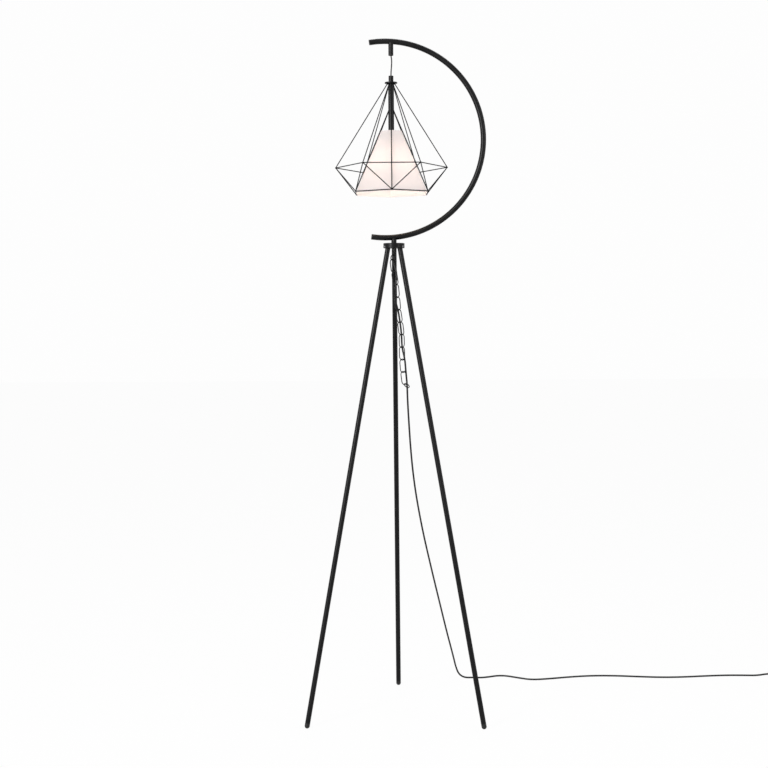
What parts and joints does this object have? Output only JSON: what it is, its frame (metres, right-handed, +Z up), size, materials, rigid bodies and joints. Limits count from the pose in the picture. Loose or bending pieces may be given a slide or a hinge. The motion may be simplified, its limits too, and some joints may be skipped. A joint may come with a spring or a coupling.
{
  "type": "floor lamp",
  "caption": "Floor lamp with a C-shaped arm on a tripod, a hanging wire cage with a cloth shade inside, a hanging chain and a long cord.",
  "frame": {"origin": "on the floor, on the axis of the hub that joins the three legs", "axes": "+Z up; the C-shaped arm lies in the XZ plane and opens towards -X; the viewer looks along +Y"},
  "size_m": [1.4429, 0.4479, 1.6523],
  "materials": {
    "black_metal": "satin black powder coat",
    "black_wire": "satin black powder coat on steel wire",
    "black_chain": "black lacquered steel wire",
    "steel": "zinc-plated steel",
    "black_plastic": "black moulded plastic",
    "cord_black": "round black cord sheath",
    "switch_plastic": "black moulded plastic",
    "relief_rubber": "soft black strain reliefs",
    "switch_inside": "cream moulded plastic",
    "tie_plastic": "black plastic band",
    "shade_cloth": "off-white cloth on a stiff film",
    "brass": "plain stamped brass",
    "bulb_metal": "stamped aluminium screw shell",
    "bulb_glass": "frosted glass"
  },
  "bodies": {
    "base": {"arm_cap_bottom": "black_plastic", "arm_cap_top": "black_plastic", "arm_nipple": "steel", "arm_wire": "cord_black", "c_arm": "black_metal", "chain_eye": "black_chain", "chain_links": "black_chain", "chain_rings": "black_chain", "coil_tie": "tie_plastic", "cord_bushing": "black_plastic", "cord_coil": "cord_black", "drop_stem": "black_metal", "foot_cap_back": "black_plastic", "foot_cap_left": "black_plastic", "foot_cap_right": "black_plastic", "grub_screws": "steel", "hub": "black_metal", "lead_run": "cord_black", "lead_tail": "cord_black", "leg_lower_back": "black_metal", "leg_lower_left": "black_metal", "leg_lower_right": "black_metal", "leg_stud_back": "steel", "leg_stud_left": "steel", "leg_stud_right": "steel", "leg_upper_back": "black_metal", "leg_upper_left": "black_metal", "leg_upper_right": "black_metal", "mains_cord": "cord_black", "neck_spacer": "black_metal", "plug_blades": "brass", "plug_body": "switch_plastic", "stem_bushing": "black_plastic", "switch_base": "switch_plastic", "switch_cover": "switch_plastic", "switch_module": "switch_inside", "switch_reliefs": "relief_rubber"},
    "pendant_cord": {"pendant_cord": "cord_black"},
    "cage": {"cord_cap": "black_metal", "cage_washer": "black_metal", "holder_tube": "black_metal", "tube_wire": "cord_black", "cage_upper_wires": "black_wire", "waist_ring": "black_wire", "cage_lower_wires": "black_wire", "rim_ring": "black_wire", "shade_ribs": "black_wire", "shade": "shade_cloth", "socket_body": "black_plastic", "socket_sleeve": "brass", "socket_contact": "brass", "bulb_base": "bulb_metal", "bulb_glass": "bulb_glass"},
    "switch_button": {"switch_button": "switch_plastic"}
  },
  "joints": [
    {"name": "pendant_swing", "type": "hinge", "parent": "base", "child": "pendant_cord", "pos_m": [-0.005, 0, 1.6147], "axis": [0, 1, 0], "range_deg": [-17, 30]},
    {"name": "cage_tilt", "type": "hinge", "parent": "pendant_cord", "child": "cage", "pos_m": [-0.005, 0, 1.556], "axis": [1, 0, 0], "range_deg": [-30, 30]},
    {"name": "button_press", "type": "slide", "parent": "base", "child": "switch_button", "axis": [0, 0, -1], "range_m": [0, 0.002], "stiffness_N_per_m": 1000}
  ]
}
